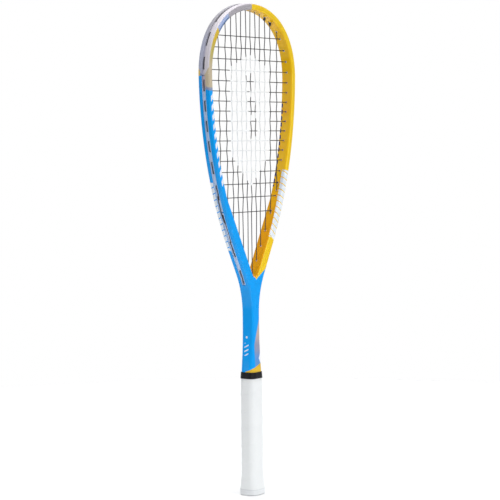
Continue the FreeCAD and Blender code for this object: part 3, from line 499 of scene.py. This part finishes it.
def bumper_plastic():
    p = Paint("bumper_plastic")
    tone = p.mix(p.noise(18.0, 3.0), srgb(214, 208, 215), srgb(224, 219, 226))
    # painted shade: the back half darker than the front, greyer and darker towards the top
    shaded_back_tone = p.mix(p.z.over(640.0, 22.0), srgb(180, 184, 206), srgb(158, 156, 164))
    tone = p.mix(p.y.over(1.0, 2.5), tone, shaded_back_tone)
    scuff = p.noise(2.2, 4.0, 0.7, (1, 0.25, 1)).over(0.66, 0.05) * 0.25
    p.colour(p.mix(scuff, tone, srgb(150, 146, 154)))
    p.rough(p.noise(6.0, 3.0) * 0.2 + 0.38)
    p.bump(p.noise(0.5, 3.0), 0.02)
    return p


def grommet_plastic():
    p = Paint("grommet_plastic", Roughness=0.32, Transmission_Weight=0.12, IOR=1.45)
    tone = p.mix(p.noise(14.0, 2.0), srgb(198, 224, 255), srgb(212, 228, 255))
    tone = p.mix(p.z.over(566.0, 6.0), tone, srgb(216, 200, 214))
    aside = p.x.abs()
    side = ((aside - ARC_X) * (aside - ARC_X) + (p.z - ARC_Z) * (p.z - ARC_Z)).root() - ARC_RADIUS
    throat = (aside - 40.9) * 0.883 - (p.z - 345.1) * 0.469 + 4.6
    inner_end = (side + p.z.under(345.0) * (throat - side)).under(-3.0, 0.4)
    tone = p.mix(inner_end * p.x.over(0.0), tone, srgb(232, 184, 148))
    p.colour(p.mix(p.noise(3.0, 3.0).over(0.62, 0.1) * 0.3, tone, srgb(232, 222, 236)))
    p.bump(p.noise(0.6, 2.0), 0.012)
    return p


def string_material(name, direction):
    p = Paint(name, Coat_Weight=0.3, Coat_Roughness=0.15)
    x, y, z = p.x, p.y, p.z
    strand = ((x * direction[0] + y * direction[1] + z * direction[2]) * 9.0).wave() * 0.5 + 0.5
    black = p.mix(strand, srgb(26, 26, 30), srgb(52, 52, 58))
    black = p.mix(p.noise(12.0, 2.0) * 0.3, black, srgb(70, 68, 74))

    # stencil: a tall shield with three slanted windows, one above the other
    ragged = (p.noise(1.4, 2.0) - 0.5) * 3.0
    aside = (x - 3.0 + ragged).abs()
    outer = (aside - 46.0).high(aside * 0.9 - (z - 432.0) * 0.9).high(aside * 0.4 - (616.0 - z))
    slant = x + (z - WINDOW_MIDDLE) * 0.10 + ragged * 0.5
    rise = z - WINDOW_MIDDLE - slant * 0.3
    window = ((slant - 7.0).abs() - 9.0).high(rise.cycle(WINDOW_PITCH).abs() - 12.0).high(rise.abs() - 46.0)
    painted = outer.under(0.0, 0.6) * window.over(0.0, 0.6)
    white = p.mix(p.noise(2.0, 3.0), srgb(236, 240, 240), srgb(250, 251, 251))
    p.colour(p.mix(painted * 0.97, black, white))
    p.rough(painted * 0.25 + 0.34)
    p.bump(strand, 0.03)
    return p


def rubber():
    p = Paint("collar_rubber", Specular_IOR_Level=0.2, Coat_Weight=0.4, Coat_Roughness=0.08)
    p.colour(p.mix(p.noise(5.0, 3.0), srgb(16, 15, 17), srgb(26, 25, 28)))
    p.rough(p.noise(3.0, 3.0) * 0.16 + 0.26)
    p.bump(p.noise(0.35, 2.0), 0.01)
    return p


def cap_plastic():
    p = Paint("cap_plastic")
    tone = p.mix(p.noise(16.0, 2.0), srgb(230, 233, 235), srgb(238, 240, 241))
    # painted shade in the seam with the tape: the cap darker above 7.4 mm
    painted_seam_shade = p.z.over(7.4, 0.8) * 0.2
    p.colour(p.mix(painted_seam_shade, tone, srgb(150, 152, 156)))
    p.rough(p.noise(4.0, 2.0) * 0.12 + 0.36)
    p.bump(p.noise(0.4, 3.0), 0.012)
    return p


def grip_leather():
    p = Paint("grip_leather", Sheen_Weight=0.15)
    tone = p.mix(p.noise(22.0, 3.0), srgb(236, 239, 239), srgb(243, 245, 245))
    grain = p.cells(0.9, "DISTANCE_TO_EDGE")
    p.colour(p.mix(grain.under(0.06, 0.04) * 0.10, tone, srgb(212, 216, 222)))
    p.rough(p.noise(7.0, 2.0) * 0.14 + 0.54)
    p.bump(grain.over(0.08, 0.08) * 0.7 + p.noise(0.4, 3.0) * 0.3, 0.05)
    return p


def badge_plastic():
    p = Paint("badge_plastic", Roughness=0.25, Coat_Weight=0.6)
    ring = (p.x * p.x + p.y * p.y * 1.6).root().near(6.4, 0.5)
    p.colour(p.mix(ring, srgb(10, 96, 190), srgb(226, 232, 240)))
    return p


def foam(name, first, second, size):
    p = Paint(name, Roughness=0.85)
    p.colour(p.mix(p.cells(size).over(0.4, 0.2), first, second))
    p.bump(p.cells(size), 0.15)
    return p


def wire_steel():
    p = Paint("wire_steel", Roughness=0.3, Metallic=1.0)
    p.colour(p.mix(p.noise(0.8, 2.0, 0.5, (1, 1, 6)), srgb(170, 170, 174), srgb(200, 200, 204)))
    return p


def vinyl_tape():
    p = Paint("vinyl_tape", Roughness=0.4)
    p.colour(p.mix(p.noise(5.0, 2.0), srgb(236, 237, 240), srgb(246, 246, 248)))
    p.bump(p.noise(0.9, 2.0, 0.5, (1, 1, 0.2)), 0.02)
    return p


# ------------------------------------------------------------------ wound grip

# Width, depth, corner radius and height of the sections that the tape lies on, from the cap up.
CAP_SECTION = (32.4, 28.4, 10.0)
GRIP_SECTION = (28.6, 24.6, 8.8)
FLARE_TOP = 38.0
TAPER_START = 158.0
END_TAPER = 1.0
TAPE_WIDTH = 27.0
PITCH = 24.4
LAP_STEP = 0.36
TAPE_THICKNESS = 1.3
TURN_POINTS = 112
# The tape starts where it is wide enough to see; a strip narrower than this is left out.
FIRST_POINT = 3
LEAST_WIDTH = 0.4
# Where the points lie across the tape, from its lower edge at 0 to its upper edge at 1.
ACROSS = (0.0, 0.006, 0.02, 0.05, 0.09, 0.13, 0.18, 0.3, 0.45, 0.6, 0.75, 0.88, 0.95, 1.0)


def section_point(width, depth, corner, turn):
    """The point and outward direction on a rounded rectangle, found along a ray from its middle."""
    ray = Vector((math.cos(turn), math.sin(turn)))
    half = Vector((width / 2, depth / 2))
    near, far = 0.0, width
    for _ in range(30):
        reach = (near + far) / 2
        spot = Vector((abs(ray.x), abs(ray.y))) * reach
        out = Vector((max(spot.x - half.x + corner, 0.0), max(spot.y - half.y + corner, 0.0)))
        inside = out.length <= corner and spot.x <= half.x and spot.y <= half.y
        near, far = (reach, far) if inside else (near, reach)
    spot = Vector((abs(ray.x), abs(ray.y))) * near
    out = Vector((max(spot.x - half.x + corner, 0.0), max(spot.y - half.y + corner, 0.0)))
    out = Vector((math.copysign(out.x, ray.x), math.copysign(out.y, ray.y))).normalized()
    return ray * near, out


def grip_section(height):
    """The section under the tape's face at a height in mm."""
    if height < FLARE_TOP:
        part = (height - bottom) / (FLARE_TOP - bottom)
        ease = (1 - part) * (1 - part)
        return tuple(small + (large - small) * ease for small, large in zip(GRIP_SECTION, CAP_SECTION))
    part = max(0.0, (height - TAPER_START) / (top - TAPER_START))
    return tuple(size - END_TAPER * part * share for size, share in zip(GRIP_SECTION, (1, 1, 0.5)))


def lap_height(share):
    """How far the tape's face stands out of its bed, from its lower edge to its upper edge."""
    edge = min(1.0, share / 0.02)
    edge = math.sqrt(1 - (1 - edge) * (1 - edge))
    fall = min(1.0, max(0.0, (share - 0.09) / 0.16))
    settle = 1 - fall * fall * (3 - 2 * fall)
    skive = max(0.0, (share - 0.9) / 0.1)
    return LAP_STEP * edge * settle + 0.05 - 0.30 * skive


def make_wound_grip():
    """One tape wound up the handle from the cap, each turn lapped over the one below."""
    count = int((top - bottom + PITCH) / PITCH * TURN_POINTS)
    vertices = []
    faces = []
    rows = 0
    for index in range(FIRST_POINT, count + 1):
        turn = index / TURN_POINTS
        low = bottom - PITCH + turn * PITCH
        high = min(low + TAPE_WIDTH, top)
        if high - max(low, bottom) < LEAST_WIDTH:
            continue
        angle = turn * 2 * math.pi
        face = []
        back = []
        for share in ACROSS:
            height = min(max(low + TAPE_WIDTH * share, bottom), high)
            spot, out = section_point(*grip_section(height), angle)
            share_here = (height - low) / TAPE_WIDTH
            raised = spot + out * lap_height(share_here)
            sunk = spot - out * TAPE_THICKNESS * (0.35 if share_here < 0.1 else 1.0)
            face.append((raised.x * MM, raised.y * MM, height * MM))
            back.append((sunk.x * MM, sunk.y * MM, height * MM))
        vertices += face + back[::-1]
        rows += 1
    ring = 2 * len(ACROSS)
    for row in range(rows - 1):
        for i in range(ring):
            j = (i + 1) % ring
            faces.append((row * ring + i, (row + 1) * ring + i, (row + 1) * ring + j, row * ring + j))
    faces.append(tuple(range(ring)))
    faces.append(tuple(reversed(range((rows - 1) * ring, rows * ring))))
    mesh = bpy.data.meshes.new("wound_grip")
    mesh.from_pydata(vertices, [], faces)
    mesh.validate()
    shape = bmesh.new()
    shape.from_mesh(mesh)
    bmesh.ops.remove_doubles(shape, verts=shape.verts, dist=0.000002)
    bmesh.ops.recalc_face_normals(shape, faces=shape.faces)
    shape.to_mesh(mesh)
    shape.free()
    mesh.shade_smooth()
    mesh.set_sharp_from_angle(angle=math.radians(50))
    grip = bpy.data.objects.new("wound_grip", mesh)
    scene.collection.objects.link(grip)
    grip.data.materials.append(grip_leather().material)
    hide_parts("grip_wrap")
    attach(grip, "root")


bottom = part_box("grip_wrap")[0][2] / MM
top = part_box("grip_wrap")[1][2] / MM
make_wound_grip()

grommet = grommet_plastic()
steel = wire_steel()
wear("frame", frame_paint())
wear("head_bumper", bumper_plastic())
for strip in ("side_grommet_strip_right", "side_grommet_strip_left",
              "throat_grommet_strip_right", "throat_grommet_strip_left"):
    wear(strip, grommet)
wear("main_string", string_material("main_string", (0.8, 0.8, 1.0)))
wear("cross_string", string_material("cross_string", (1.0, 0.8, 0.8)))
wear("grip_collar", rubber())
wear("butt_cap", cap_plastic())
wear("butt_badge", badge_plastic())
wear("handle_pallet", foam("pallet_foam", srgb(70, 68, 66), srgb(92, 90, 86), 0.9))
wear("frame_tail_plug", foam("plug_foam", srgb(196, 188, 160), srgb(214, 206, 180), 0.7))
wear("butt_cap_staples", steel)
wear("grip_tack", steel)
wear("finishing_tape", vinyl_tape())
